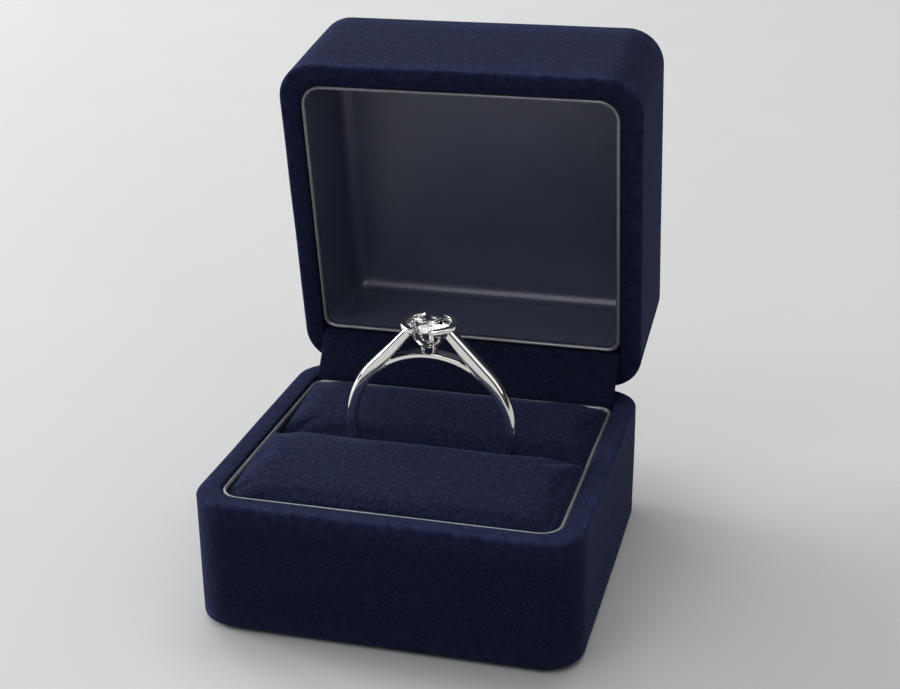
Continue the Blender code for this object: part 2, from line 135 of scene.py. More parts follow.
def finish_mesh(bm, name, sharp=40, turn=None):
    """The bmesh as a shown object in metres, smooth but for edges sharper than sharp degrees."""
    bmesh.ops.scale(bm, vec=(MM, MM, MM), verts=bm.verts)
    bmesh.ops.recalc_face_normals(bm, faces=bm.faces)
    mesh = bpy.data.meshes.new(name)
    bm.to_mesh(mesh)
    bm.free()
    if turn is not None:
        mesh.transform(Matrix.Scale(MM, 4) @ turn @ Matrix.Scale(1 / MM, 4))
    mesh.shade_smooth()
    mesh.set_sharp_from_angle(angle=radians(sharp))
    made = bpy.data.objects.new(name, mesh)
    bpy.context.scene.collection.objects.link(made)
    return made


def loft(loops, ring=False, wear=None):
    """A skin over loops of points. ring joins the last loop to the first; wear is one value per
    loop, kept as a vertex attribute for the materials."""
    bm = bmesh.new()
    layer = bm.verts.layers.float.new("wear")
    rows = []
    for index, loop in enumerate(loops):
        row = [bm.verts.new(point) for point in loop]
        for vert in row:
            vert[layer] = wear[index] if wear else 0.0
        rows.append(row)
    pairs = list(zip(rows, rows[1:]))
    if ring:
        pairs.append((rows[-1], rows[0]))
    for lower, upper in pairs:
        for step in range(len(lower)):
            after = (step + 1) % len(lower)
            bm.faces.new((lower[step], lower[after], upper[after], upper[step]))
    if not ring:
        bm.faces.new(rows[0][::-1])
        bm.faces.new(rows[-1])
    return bm


def applied(obj):
    """Applies the object's modifiers to its mesh."""
    graph = bpy.context.evaluated_depsgraph_get()
    mesh = bpy.data.meshes.new_from_object(obj.evaluated_get(graph))
    old = obj.data
    obj.modifiers.clear()
    obj.data = mesh
    mesh.name = obj.name
    bpy.data.meshes.remove(old)
    return obj


def boolean(target, tools, operation):
    """Cuts the tools from the target or joins them on, and removes them."""
    for tool in tools:
        change = target.modifiers.new(tool.name, "BOOLEAN")
        change.operation = operation
        change.solver = "EXACT"
        change.object = tool
    applied(target)
    for tool in tools:
        bpy.data.objects.remove(tool, do_unlink=True)
    return target


def box_tool(x0, x1, y0, y1, z0, z1, rounding, turn=None):
    """A box with all edges rounded, to cut with."""
    bm = bmesh.new()
    bmesh.ops.create_cube(bm, size=1.0)
    bmesh.ops.scale(bm, vec=(x1 - x0, y1 - y0, z1 - z0), verts=bm.verts)
    middle = Vector((x0 + x1, y0 + y1, z0 + z1)) / 2
    bmesh.ops.translate(bm, vec=middle, verts=bm.verts)
    bmesh.ops.bevel(bm, geom=bm.edges, offset=rounding, segments=3, profile=0.5, affect="EDGES")
    return finish_mesh(bm, "tool", turn=turn)


def drift(obj, amount, size, seed):
    """Moves the surface in and out by a smooth random amount, so that nothing is dead flat."""
    mesh = obj.data
    normals = [v.normal.copy() for v in mesh.vertices]
    for vert, normal in zip(mesh.vertices, normals):
        place = vert.co / (size * MM) + Vector((seed, 0, 0))
        vert.co += normal * (noise.noise(place) * amount * MM)
    mesh.update()


# ---------------------------------------------------------------- materials


class Finish:
    """A Principled material and the few node steps that these finishes share."""

    def __init__(self, name, **sockets):
        self.material = bpy.data.materials.new(name)
        self.material.use_nodes = True
        self.nodes = self.material.node_tree.nodes
        self.links = self.material.node_tree.links
        self.shader = self.nodes["Principled BSDF"]
        for socket, value in sockets.items():
            self.shader.inputs[socket.replace("_", " ")].default_value = value
        self.place = self.nodes.new("ShaderNodeTexCoord").outputs["Object"]

    def stretched(self, x, y, z):
        """The object's coordinates, scaled by a factor along each axis."""
        mapping = self.nodes.new("ShaderNodeMapping")
        mapping.inputs["Scale"].default_value = (x, y, z)
        self.links.new(self.place, mapping.inputs["Vector"])
        return mapping.outputs["Vector"]

    def noise(self, size, detail=3.0, roughness=0.55, place=None, distortion=0.0):
        """Noise whose features are about size millimetres."""
        made = self.nodes.new("ShaderNodeTexNoise")
        made.inputs["Scale"].default_value = 1 / (size * MM)
        made.inputs["Detail"].default_value = detail
        made.inputs["Roughness"].default_value = roughness
        made.inputs["Distortion"].default_value = distortion
        self.links.new(place or self.place, made.inputs["Vector"])
        return made.outputs["Fac"]

    def spread(self, value, low, high, to_low, to_high):
        made = self.nodes.new("ShaderNodeMapRange")
        ends = (("From Min", low), ("From Max", high), ("To Min", to_low), ("To Max", to_high))
        for socket, number in ends:
            made.inputs[socket].default_value = number
        self.links.new(value, made.inputs["Value"])
        return made.outputs["Result"]

    def math(self, operation, first, second):
        made = self.nodes.new("ShaderNodeMath")
        made.operation = operation
        for index, value in enumerate((first, second)):
            if isinstance(value, (int, float)):
                made.inputs[index].default_value = value
            else:
                self.links.new(value, made.inputs[index])
        return made.outputs["Value"]

    def mix(self, factor, first, second):
        """Two colours mixed; each is a colour or a socket."""
        made = self.nodes.new("ShaderNodeMix")
        made.data_type = "RGBA"
        self.links.new(factor, made.inputs["Factor"])
        for socket, value in ((made.inputs[6], first), (made.inputs[7], second)):
            if isinstance(value, tuple):
                socket.default_value = (*value, 1.0)
            else:
                self.links.new(value, socket)
        return made.outputs[2]

    def wear(self):
        made = self.nodes.new("ShaderNodeAttribute")
        made.attribute_name = "wear"
        return made.outputs["Fac"]

    def bump(self, height, distance, strength, under=None):
        """Bump of height 0 to 1 over distance millimetres."""
        made = self.nodes.new("ShaderNodeBump")
        made.inputs["Strength"].default_value = strength
        made.inputs["Distance"].default_value = distance * MM
        self.links.new(height, made.inputs["Height"])
        if under is not None:
            self.links.new(under, made.inputs["Normal"])
        return made.outputs["Normal"]

    def set(self, **sockets):
        for socket, value in sockets.items():
            self.links.new(value, self.shader.inputs[socket.replace("_", " ")])
        return self.material


def suede(name, dark, light, pebble, pebble_depth, sheen):
    """Short napped suede: fibres, a pebbled ground under them, brushed patches and rubbed edges."""
    f = Finish(
        name,
        Roughness=0.95,
        Specular_IOR_Level=0.05,
        Sheen_Weight=sheen,
        Sheen_Roughness=0.38,
        Sheen_Tint=(0.42, 0.50, 1.0, 1.0),
    )
    fibres = f.noise(0.16, 4.0, 0.7)
    ground = f.noise(pebble, 3.0, 0.6, f.stretched(1.0, 0.5, 1.0))
    patches = f.spread(f.noise(7.0, 2.0), 0.35, 0.65, 0.0, 1.0)
    colour = f.mix(patches, dark, tuple(1.18 * c for c in dark))
    colour = f.mix(f.spread(fibres, 0.42, 0.72, 0.0, 0.7), colour, light)
    colour = f.mix(f.spread(ground, 0.45, 0.7, 0.0, 0.8), colour, light)
    rubbed = f.math("MULTIPLY", f.wear(), f.spread(f.noise(1.1, 3.0), 0.4, 0.65, 0.15, 0.8))
    colour = f.mix(rubbed, colour, tuple(1.5 * c for c in light))
    normal = f.bump(ground, pebble_depth, 1.0)
    normal = f.bump(fibres, 0.06, 0.7, normal)
    return f.set(Base_Color=colour, Normal=normal)


def satin(name, colour, roughness):
    """The smooth lining: a fine even grain with faint cloudiness in its gloss."""
    f = Finish(name, Specular_IOR_Level=0.5)
    grain = f.noise(0.12, 3.0, 0.6)
    clouds = f.noise(6.0, 2.0)
    tone = f.mix(f.spread(clouds, 0.3, 0.7, 0.0, 1.0), colour, tuple(1.15 * c for c in colour))
    tone = f.mix(f.spread(grain, 0.4, 0.7, 0.0, 0.3), tone, tuple(1.6 * c for c in colour))
    rough = f.spread(clouds, 0.3, 0.7, roughness - 0.03, roughness + 0.05)
    return f.set(Base_Color=tone, Roughness=rough, Normal=f.bump(grain, 0.01, 0.35))


def metal(name, colour, roughness, scratch=0.004, stretch=(1.0, 1.0, 1.0)):
    """Metal with fine scratches and slightly uneven polish."""
    f = Finish(name, Metallic=1.0)
    lines = f.noise(0.3, 4.0, 0.6, f.stretched(*stretch))
    smudge = f.noise(2.5, 2.0)
    tone = f.mix(f.spread(smudge, 0.35, 0.65, 0.0, 1.0), colour, tuple(0.94 * c for c in colour))
    rough = f.spread(smudge, 0.3, 0.7, roughness * 0.8, roughness * 1.35)
    return f.set(Base_Color=tone, Roughness=rough, Normal=f.bump(lines, scratch, 0.25))


def plastic(name, colour, roughness, grain=0.25, depth=0.02):
    """Moulded plastic with a fine spark-eroded grain."""
    f = Finish(name, Specular_IOR_Level=0.4)
    spots = f.noise(grain, 3.0, 0.6)
    clouds = f.noise(4.0, 2.0)
    tone = f.mix(f.spread(clouds, 0.3, 0.7, 0.0, 1.0), colour, tuple(1.2 * c for c in colour))
    rough = f.spread(spots, 0.3, 0.7, roughness - 0.06, roughness + 0.06)
    return f.set(Base_Color=tone, Roughness=rough, Normal=f.bump(spots, depth, 0.5))


def foam(name, colour):
    """Open-cell foam: a bump of its cells, with painted shade darkening the cell hollows."""
    f = Finish(name, Roughness=1.0, Specular_IOR_Level=0.1)
    cells = f.nodes.new("ShaderNodeTexVoronoi")
    cells.inputs["Scale"].default_value = 1 / (0.35 * MM)
    f.links.new(f.place, cells.inputs["Vector"])
    hollow_depth_and_shade = f.spread(cells.outputs["Distance"], 0.1, 0.6, 0.0, 1.0)
    # painted shade: the cell hollows are darkened to 0.4 of the foam's colour; the same mask gives
    # the bump
    tone = f.mix(hollow_depth_and_shade, tuple(0.4 * c for c in colour), colour)
    return f.set(Base_Color=tone, Normal=f.bump(hollow_depth_and_shade, 0.1, 0.9))


def felt(name, colour):
    """Pressed felt: matted fibres that run all ways."""
    f = Finish(name, Roughness=1.0, Specular_IOR_Level=0.1, Sheen_Weight=0.25, Sheen_Roughness=0.6)
    mat = f.noise(0.3, 5.0, 0.75, distortion=1.2)
    tone = f.mix(f.spread(mat, 0.35, 0.7, 0.0, 1.0), colour, tuple(2.2 * c for c in colour))
    return f.set(Base_Color=tone, Normal=f.bump(mat, 0.08, 0.8))


def bead_finish(name):
    """The pale edge cord: lacquered, with a slight unevenness along it."""
    f = Finish(name, Metallic=0.35, Coat_Weight=0.3, Coat_Roughness=0.25)
    grain = f.noise(0.35, 3.0, 0.6)
    tone = f.mix(f.spread(grain, 0.35, 0.65, 0.0, 1.0), (0.17, 0.175, 0.19), (0.24, 0.245, 0.26))
    rough = f.spread(f.noise(1.5), 0.3, 0.7, 0.28, 0.42)
    return f.set(Base_Color=tone, Roughness=rough, Normal=f.bump(grain, 0.012, 0.5))


def diamond(name):
    """A clear, colourless stone with faint polish marks."""
    f = Finish(name, Roughness=0.0, IOR=2.417, Transmission_Weight=1.0)
    lines = f.noise(0.05, 2.0)
    tone = f.mix(f.spread(lines, 0.3, 0.7, 0.0, 1.0), (0.995, 0.995, 0.99), (1.0, 1.0, 0.995))
    return f.set(Base_Color=tone)


NAVY = (0.0043, 0.0057, 0.0190)
NAVY_LIGHT = (0.0165, 0.0215, 0.0600)
COVER_SUEDE = suede("navy_suede", NAVY, NAVY_LIGHT, 0.34, 0.13, 0.09)
PAD_SUEDE = suede("navy_suede_pads", NAVY, NAVY_LIGHT, 0.38, 0.16, 0.14)
SATIN = satin("grey_navy_satin", (0.066, 0.074, 0.126), 0.34)
BEAD = bead_finish("pale_trim")
WHITE_GOLD = metal("polished_white_gold", (0.86, 0.845, 0.82), 0.07, 0.002)
STEEL = metal("hinge_steel", (0.50, 0.50, 0.52), 0.32, 0.02, (0.2, 1.0, 1.0))
SPRING_STEEL = metal("spring_steel", (0.28, 0.30, 0.34), 0.25, 0.01, (1.0, 1.0, 0.2))
SHELL_PLASTIC = plastic("dark_moulded_shell", (0.018, 0.018, 0.024), 0.55)
TRAY_PLASTIC = plastic("dark_tray", (0.020, 0.022, 0.034), 0.5, 0.4)
FOAM = foam("grey_foam", (0.20, 0.20, 0.22))
FELT = felt("navy_felt", (0.006, 0.007, 0.016))
CLEAR_STONE = diamond("clear_stone")


def dress(piece, finish, body, slot, *nodes):
    """Gives a piece its material, its body and the CAD nodes it stands for. The slot is not used.
    """
    piece.data.materials.clear()
    piece.data.materials.append(finish)
    if body:
        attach(piece, body)
    if nodes:
        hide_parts(*nodes)
    return piece


# ---------------------------------------------------------------- suede covers


def cover_corner(inset):
    """Upright corner radius at a distance in from the outside."""
    slope = (OUTER_CORNER - MOUTH_CORNER) / MOUTH_INSET
    return max(0.6, OUTER_CORNER - slope * inset)


def cover_profile(height, closed_side):
    """Section of a cover as (inset, height from its closed side): a solid loop, or with
    closed_side an open one whose two ends are the inside and outside of the flat top."""
    edge = 0.5
    rim_edge = 0.25
    lip = 1.3
    flat = [18.0, 14.0, 9.0, 5.0] if closed_side else [3.5]
    outer_flat = [(inset, 0.0) for inset in flat]
    inner_flat = [(inset, COVER) for inset in flat[::-1]]
    sides = [(0.0, height * share) for share in (0.2, 0.35, 0.5, 0.65, 0.8)]
    return (
        outer_flat
        + arc(edge, edge, edge, 270, 180)
        + sides
        + arc(edge, height - edge, edge, 180, 90)
        + arc(MOUTH_INSET - rim_edge, height - rim_edge, rim_edge, 90, 0, 4)
        + [(MOUTH_INSET, height - lip), (MOUTH_INSET - COVER, height - lip)]
        + [(MOUTH_INSET - COVER, height - COVER), (COVER, height - COVER), (COVER, COVER)]
        + inner_flat
    )


def cover_wear(inset, level, height):
    """1 on the rounded outer edges, fading to 0 away from them."""
    from_edge = min(abs(level), abs(height - level))
    return max(0.0, 1.0 - max(inset, from_edge) / 1.3)


def make_cover(name, low, high, upside_down, notch, body, node):
    height = high.z - low.z
    profile = cover_profile(height, upside_down)
    loops = []
    wear = []
    for inset, level in profile:
        z = high.z - level if upside_down else low.z + level
        x1 = HALF_WIDTH - inset
        y1 = HALF_DEPTH - inset
        loops.append(rounded_loop(-x1, x1, -y1, y1, z, cover_corner(inset)))
        wear.append(cover_wear(inset, level, height))
    turn = OPEN if upside_down else None
    cover = finish_mesh(loft(loops, ring=not upside_down, wear=wear), name, turn=turn)
    drift(cover, 0.05, 9.0, 3.0 if upside_down else 11.0)
    boolean(cover, [box_tool(*notch, 0.25, turn)], "DIFFERENCE")
    cover.data.shade_smooth()
    cover.data.set_sharp_from_angle(angle=radians(40))
    return dress(cover, COVER_SUEDE, body, "navy_suede", node)


# The notches that the hinge barrel turns in, in the rear wall of the base and of the lid.
NOTCH_SIDE = 8.4
NOTCH_Y = (17.0, HALF_DEPTH + 1.5)
NOTCH_PAST = 2.0
BASE_NOTCH_DEPTH = 1.05
LID_NOTCH_DEPTH = 1.94
notch_plan = (-NOTCH_SIDE, NOTCH_SIDE, *NOTCH_Y)
base_notch = (*notch_plan, RIM - BASE_NOTCH_DEPTH, RIM + NOTCH_PAST)
lid_notch = (*notch_plan, LID_RIM - NOTCH_PAST, LID_RIM + LID_NOTCH_DEPTH)
make_cover("base_suede", BASE_LOW, BASE_HIGH, False, base_notch, "base", "base_wrap")
make_cover("lid_suede", LID_LOW, LID_HIGH, True, lid_notch, "lid", "lid_wrap")


# ---------------------------------------------------------------- edge beads


def make_bead(name, low, high, turn, body, node):
    """The pale cord round the opening, an oval section swept round it."""
    width = 0.5
    gap = 0.05
    loops = []
    steps = 14
    for step in range(steps):
        angle = 2 * pi * step / steps
        shift = gap + width / 2 * (1 - cos(angle))
        z = (low.z + high.z) / 2 + (high.z - low.z) / 2 * sin(angle)
        loops.append(
            rounded_loop(
                low.x + shift,
                high.x - shift,
                low.y + shift,
                high.y - shift,
                z,
                BEAD_FRONT_CORNER - shift,
                BEAD_REAR_CORNER - shift,
            )
        )
    bead = finish_mesh(loft(loops, ring=True), name, 60, turn)
    return dress(bead, BEAD, body, "pale_trim", node)


make_bead("base_bead", TRIM_LOW, TRIM_HIGH, None, "base", "base_trim_ring")
make_bead("lid_bead", LID_TRIM_LOW, LID_TRIM_HIGH, OPEN, "lid", "lid_trim_ring")


# ---------------------------------------------------------------- pads

PAD_FLOOR = node_box("front_pad_cover")[0].z
SLOT_GAP = 0.3
BEAD_REACH = 0.55
PUFF_FRAMES = 20
PUFF_PRESSURE = 4.0
PUFF_MOST = 0.3
BEAD_INNER = TRIM_HIGH.x - BEAD_REACH
SIM_SCALE = 12.0


def smooth(edge0, edge1, value):
    t = min(1.0, max(0.0, (value - edge0) / (edge1 - edge0)))
    return t * t * (3 - 2 * t)


def along(points, value):
    """Height at a place on the straight lines between (place, height) points."""
    if value <= points[0][0]:
        return points[0][1]
    for (a, low), (b, high) in zip(points, points[1:]):
        if value <= b:
            return low + (high - low) * (value - a) / (b - a)
    return points[-1][1]


def pad_loop(x0, x1, y0, y1, z, front, rear):
    """A pad's outline at a height, with corners that never close up."""
    return rounded_loop(x0, x1, y0, y1, z, max(0.35, front), max(0.35, rear))


def pillow(name, y0, y1, corners, crown):
    """A filled pad: a block whose top follows crown(x, y), puffed out as cloth. corners are the
    radii of its upright corners at the front and at the rear."""
    side = BEAD_INNER + 0.2
    edge = 0.4
    top = 16.0
    levels = [(0.0, PAD_FLOOR), (0.0, 8.0), (0.0, 11.0)]
    levels += arc(edge, top - edge, edge, 180, 90, 4)
    levels += [(inset, top) for inset in (1.6, 3.0, 4.5, 6.0, 7.3)]
    loops = [
        pad_loop(-side + u, side - u, y0 + u, y1 - u, z, corners[0] - u, corners[1] - u)
        for u, z in levels
    ]
    pad = finish_mesh(loft(loops), name, 180)
    pad.data.transform(Matrix.Scale(SIM_SCALE, 4))
    remesh = pad.modifiers.new("even", "REMESH")
    remesh.mode = "VOXEL"
    remesh.voxel_size = 0.4 * MM * SIM_SCALE
    applied(pad)
    unit = MM * SIM_SCALE
    for vert in pad.data.vertices:
        x, y, z = vert.co / unit
        lift = (z - PAD_FLOOR) / (top - PAD_FLOOR)
        vert.co.z = (PAD_FLOOR + lift * (crown(x, y) - PAD_FLOOR)) * unit
    puff(pad, unit)
    relax = pad.modifiers.new("relax", "SMOOTH")
    relax.factor = 0.5
    relax.iterations = 3
    applied(pad)
    pad.data.transform(Matrix.Scale(1 / SIM_SCALE, 4))
    subdivide = pad.modifiers.new("fine", "SUBSURF")
    subdivide.levels = 1
    subdivide.render_levels = 1
    applied(pad)
    pad.data.shade_smooth()
    return pad


def puff(pad, unit):
    """Blows the cover up a little as cloth, held at its lower half, and caps how far it moves."""
    rest = [v.co.copy() for v in pad.data.vertices]
    held = pad.vertex_groups.new(name="held")
    for vert in pad.data.vertices:
        share = 1.0 - smooth(10.0, 13.5, vert.co.z / unit)
        if share > 0:
            held.add([vert.index], share, "REPLACE")
    cloth = pad.modifiers.new("cloth", "CLOTH")
    cloth.settings.use_pressure = True
    cloth.settings.uniform_pressure_force = PUFF_PRESSURE
    cloth.settings.vertex_group_mass = "held"
    cloth.settings.effector_weights.gravity = 0.0
    scene = bpy.context.scene
    cloth.point_cache.frame_start = 1
    cloth.point_cache.frame_end = PUFF_FRAMES
    for step in range(1, PUFF_FRAMES + 1):
        scene.frame_set(step)
    graph = bpy.context.evaluated_depsgraph_get()
    moved = bpy.data.meshes.new_from_object(pad.evaluated_get(graph))
    most = PUFF_MOST * unit
    for vert, start, end in zip(pad.data.vertices, rest, moved.vertices):
        step = end.co - start
        if step.length > most:
            step *= most / step.length
        vert.co = start + step
    pad.modifiers.clear()
    pad.vertex_groups.clear()
    bpy.data.meshes.remove(moved)
    scene.frame_set(1)


def end_fall(x):
    """How far a pad's top drops towards its two ends."""
    share = min(1.0, abs(x) / BEAD_INNER)
    return 0.25 * share**2.4 + 0.25 * smooth(0.8, 1.0, share)


# Height of each pad's top along the box, as (y, z).
FRONT_LINE = (
    (-18.0, 15.2), (-17.3, 15.75), (-16.0, 16.05), (-13.5, 16.4), (-10.0, 16.75), (-7.0, 16.95),
    (-4.5, 17.0), (-2.6, 16.95), (-1.5, 16.6), (-0.8, 16.15), (-0.3, 15.6),
)
REAR_LINE = (
    (0.3, 14.9), (1.0, 15.3), (2.0, 15.7), (3.5, 16.1), (5.5, 16.4), (8.0, 16.65), (11.0, 16.8),
    (13.2, 16.8), (14.4, 16.6), (15.2, 16.15),
)


def front_crown(x, y):
    return along(FRONT_LINE, y) - end_fall(x)


def rear_crown(x, y):
    return along(REAR_LINE, y) - end_fall(x)


front_pad = pillow("front_pad", TRIM_LOW.y + BEAD_REACH, -SLOT_GAP, (2.1, 0.4), front_crown)
dress(front_pad, PAD_SUEDE, "base", "navy_suede_pads", "front_pad_cover", "front_pad_foam")
rear_pad = pillow("rear_pad", SLOT_GAP, TRIM_HIGH.y - BEAD_REACH, (0.4, 1.3), rear_crown)
dress(rear_pad, PAD_SUEDE, "base", "navy_suede_pads", "rear_pad_cover", "rear_pad_foam")


def make_slot_foam():
    """The foam strip at the bottom of the slot, which the ring's foot presses into."""
    low, high = node_box("ring_slot_foam")
    loops = []
    for inset, z in [(0.15, low.z), (0.0, low.z + 0.2)] + arc(0.5, high.z - 0.5, 0.5, 180, 90, 5):
        loops.append(
            rounded_loop(
                low.x + inset, high.x - inset, low.y + inset, high.y - inset, z, 0.55, None, 24
            )
        )
    strip = finish_mesh(loft(loops), "slot_foam")
    drift(strip, 0.12, 1.5, 5.0)
    dress(strip, FOAM, "base", "grey_foam", "ring_slot_foam")


make_slot_foam()


def make_foot():
    """The felt sheet under the base."""
    low, high = node_box("base_foot_pad")
    soft = 0.1
    profile = [(3.0, low.z), (soft, low.z)] + arc(soft, low.z + soft, soft, 225, 135, 3)
    profile += [(soft, high.z), (3.0, high.z)]
    loops = [
        rounded_loop(low.x + u, high.x - u, low.y + u, high.y - u, z, max(0.6, 3.2 - u))
        for u, z in profile
    ]
    foot = finish_mesh(loft(loops), "foot_felt")
    dress(foot, FELT, "base", "navy_felt", "base_foot_pad")


make_foot()


# ---------------------------------------------------------------- lid lining

LINING_CORNER = 2.3
DRAFT = 0.03
REAR_LEAN = 0.10


def lining_corner(inset):
    return max(0.5, LINING_CORNER - inset)


def lining_loop(low, high, inset, depth):
    """A loop of the lining at a depth below the lid's rim. Its hinge side leans out with depth."""
    z = LID_RIM + depth
    rear = high.y - inset + REAR_LEAN * depth
    return rounded_loop(low.x + inset, high.x - inset, low.y + inset, rear, z, lining_corner(inset))


def make_lid_lining():
    """The lining's walls and back: a tray whose walls lean in a little with depth."""
    low, high = LINER_LOW, LINER_HIGH
    wall = 0.55
    mouth = low.z - LID_RIM
    back = high.z - LID_RIM
    inside_back = back - 0.35
    levels = [mouth, 3.0, 6.0, 9.0, 12.0, inside_back]
    inner = [(wall + DRAFT * level, level) for level in levels]
    outer = [(0.0, level) for level in (back - 0.3, 9.0, 4.0, mouth + 0.1)]
    profile = [(0.1, mouth)] + inner + [(6.0, inside_back), (9.0, inside_back)]
    loops = [lining_loop(low, high, u, d) for u, d in outer + profile]
    start = [lining_loop(low, high, u, back) for u in (9.0, 6.0, 0.3)]
    lining = finish_mesh(loft(start + loops), "lid_lining", 40, OPEN)
    dress(lining, SATIN, "lid", "grey_navy_satin", "lid_liner")


make_lid_lining()


def make_lid_panel():
    """The soft panel in the lid: a dish whose border curves up into the walls."""
    low, high = LINER_LOW, LINER_HIGH
    face = PANEL_LOW.z - LID_RIM
    back = PANEL_HIGH.z - LID_RIM
    fillet = 1.6
    wall = 0.55 + DRAFT * (face - fillet) - 0.03
    dish = arc(wall + fillet, face - fillet, fillet, 180, 90, 10)
    middle = [(wall + fillet + step, face) for step in (0.8, 1.8, 3.2, 5.0, 7.0, 9.5)]
    rim = [(wall + 0.1, back), (wall, back - 0.3), (wall - 0.02, face - fillet)]
    loops = [lining_loop(low, high, u, d) for u, d in [(9.0, back), (6.0, back)] + rim]
    loops += [lining_loop(low, high, u, d) for u, d in dish[1:] + middle]
    panel = finish_mesh(loft(loops), "lid_panel", 60, OPEN)
    dress(panel, SATIN, "lid", "grey_navy_satin", "lid_pad_cover", "lid_pad_foam")
    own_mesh(panel)


make_lid_panel()


# ---------------------------------------------------------------- hinge flap


def bend(points, radius, steps=5):
    """The polyline with its inner corners rounded."""
    out = [points[0]]
    for before, at, after in zip(points, points[1:], points[2:]):
        start = at + (before - at).normalized() * radius
        end = at + (after - at).normalized() * radius
        for step in range(steps + 1):
            t = step / steps
            out.append(start * (1 - t) ** 2 + at * (2 * t * (1 - t)) + end * t**2)
    return out + [points[-1]]


def strip_section(point, out, half, edge, across=30, around=6):
    """A section across a strip: two flat faces joined by round edges. out is half its thickness."""
    loop = []
    for side in (-1, 1):
        start = side * (half - edge)
        for step in range(across + 1):
            x = start - side * (2 * half - 2 * edge) * step / across
            loop.append(point + out * side + Vector((x, 0, 0)))
        for step in range(1, around):
            angle = side * pi / 2 + pi * step / around
            x = -start + edge * cos(angle)
            loop.append(point + out * sin(angle) + Vector((x, 0, 0)))
    return loop


def make_flap():
    """The suede strip over the hinge. It is tucked behind both trays and crosses between them."""
    tuck = 2.2
    behind = TRIM_HIGH.y + 0.38
    half = TRIM_HIGH.x - 0.12
    thick = 0.45
    base_edge = Vector((0, behind, RIM - 0.08))
    lid_edge = OPEN @ Vector((0, behind, LID_RIM + 0.08))
    base_end = base_edge - Vector((0, 0, tuck))
    lid_end = OPEN @ Vector((0, behind, LID_RIM + 0.08 + tuck))
    run = [base_edge.lerp(lid_edge, step / 8) for step in range(1, 8)]
    path = bend([base_end, base_edge, run[0]], 0.45) + run[1:-1]
    path += bend([run[-1], lid_edge, lid_end], 0.45)
    loops = []
    for index, point in enumerate(path):
        ahead = path[min(index + 1, len(path) - 1)] - path[max(index - 1, 0)]
        out = Vector((0, ahead.z, -ahead.y)).normalized() * (thick / 2)
        loops.append(strip_section(point, out, half, thick / 2))
    flap = finish_mesh(loft(loops), "flap_strip", 60)
    drift(flap, 0.06, 5.0, 21.0)
    dress(flap, COVER_SUEDE, None, "navy_suede", "hinge_flap")
    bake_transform(flap)


make_flap()


# ---------------------------------------------------------------- ring

RING_OUTER = 10.5
RING_INNER = 9.3
RING_CENTRE = Vector(((BAND_LOW.x + BAND_HIGH.x) / 2, 0, BAND_LOW.z + RING_OUTER))
RING_WIDTH = 1.8
SHOULDER_FLARE = 0.42
WINDOW_HALF_WIDTH = 1.15
WINDOW_SILL = 0.75
BEZEL_TOP = BEZEL_HIGH.z
HEAD_X = RING_CENTRE.x


def ring_point(radius, degrees):
    return RING_CENTRE + Vector((radius * cos(radians(degrees)), 0, radius * sin(radians(degrees))))


def section_loop(point, out, thick, width, rounding, dome, steps=4):
    """A section across the shank: a rounded rectangle whose outer face is domed by dome. out
    points away from the finger."""
    loop = []
    half = width / 2
    flank = thick / 2 - dome
    inner = ((-1, 180, 270), (1, 270, 360))
    for side, start, end in inner:
        for step in range(steps + 1):
            angle = radians(start + (end - start) * step / steps)
            across = side * (half - rounding) + rounding * cos(angle)
            away = -thick / 2 + rounding + rounding * sin(angle)
            loop.append(point + Vector((0, across, 0)) + out * away)
    for step in range(4 * steps + 1):
        angle = radians(180 * step / (4 * steps))
        across = half * cos(angle)
        away = flank + dome * sin(angle) ** 0.8
        loop.append(point + Vector((0, across, 0)) + out * away)
    return loop


def sweep(path, outs, thick, width, rounding, dome):
    return loft(
        [section_loop(p, o, t, w, rounding, dome) for p, o, t, w in zip(path, outs, thick, width)]
    )


def make_shank():
    """The band, which thickens into its straight shoulders, and the bridge that closes the finger
    hole under the setting."""
    thick = RING_OUTER - RING_INNER
    leave = 47.0
    turns = 120
    path = []
    outs = []
    thicks = []
    for step in range(turns + 1):
        angle = 180 - leave + step * (180 + 2 * leave) / turns
        rise = max(0.0, sin(radians(angle))) / sin(radians(leave))
        thicks.append(thick + SHOULDER_FLARE * rise**2)
        path.append(ring_point(RING_INNER + thicks[-1] / 2, angle))
        outs.append((path[-1] - RING_CENTRE).normalized())
    shoulder_steps = 14
    for side in (-1, 1):
        base = path[0] if side < 0 else path[-1]
        base_out = outs[0] if side < 0 else outs[-1]
        head = Vector((RING_CENTRE.x + side * 2.4, 0, BEZEL_TOP - 1.12))
        run = (head - base).normalized()
        out = Vector((side * run.z, 0, -side * run.x))
        rows = []
        for step in range(1, shoulder_steps + 1):
            t = step / shoulder_steps
            turned_out = base_out.lerp(out, smooth(0.0, 0.4, t)).normalized()
            rows.append((base.lerp(head, t), turned_out, thick + SHOULDER_FLARE * (1 - 1.2 * t)))
        if side < 0:
            rows.reverse()
        points, ways, depths = ([row[k] for row in rows] for k in range(3))
        path = points + path if side < 0 else path + points
        outs = ways + outs if side < 0 else outs + ways
        thicks = depths + thicks if side < 0 else thicks + depths
    across = [RING_WIDTH] * len(path)
    shank = finish_mesh(sweep(path, outs, thicks, across, 0.15, 0.55), "ring_shank")

    bridge_outer = 10.0
    bridge_middle = (bridge_outer + RING_INNER) / 2 + 0.01
    span = 57.0
    arc_degrees = [90 - span + step * 2 * span / 48 for step in range(49)]
    bridge_path = [ring_point(bridge_middle, angle) for angle in arc_degrees]
    bridge_outs = [(p - RING_CENTRE).normalized() for p in bridge_path]
    size = len(bridge_path)
    depth = bridge_outer - RING_INNER - 0.02  # its inner face stays just outside the shank's
    bridge = finish_mesh(
        sweep(bridge_path, bridge_outs, [depth] * size, [RING_WIDTH - 0.04] * size, 0.1, 0.12),
        "bridge",
    )
    boolean(shank, [bridge], "UNION")
    shank.data.shade_smooth()
    shank.data.set_sharp_from_angle(angle=radians(32))
    dress(shank, WHITE_GOLD, "ring", "polished_white_gold", "ring_band")


make_shank()


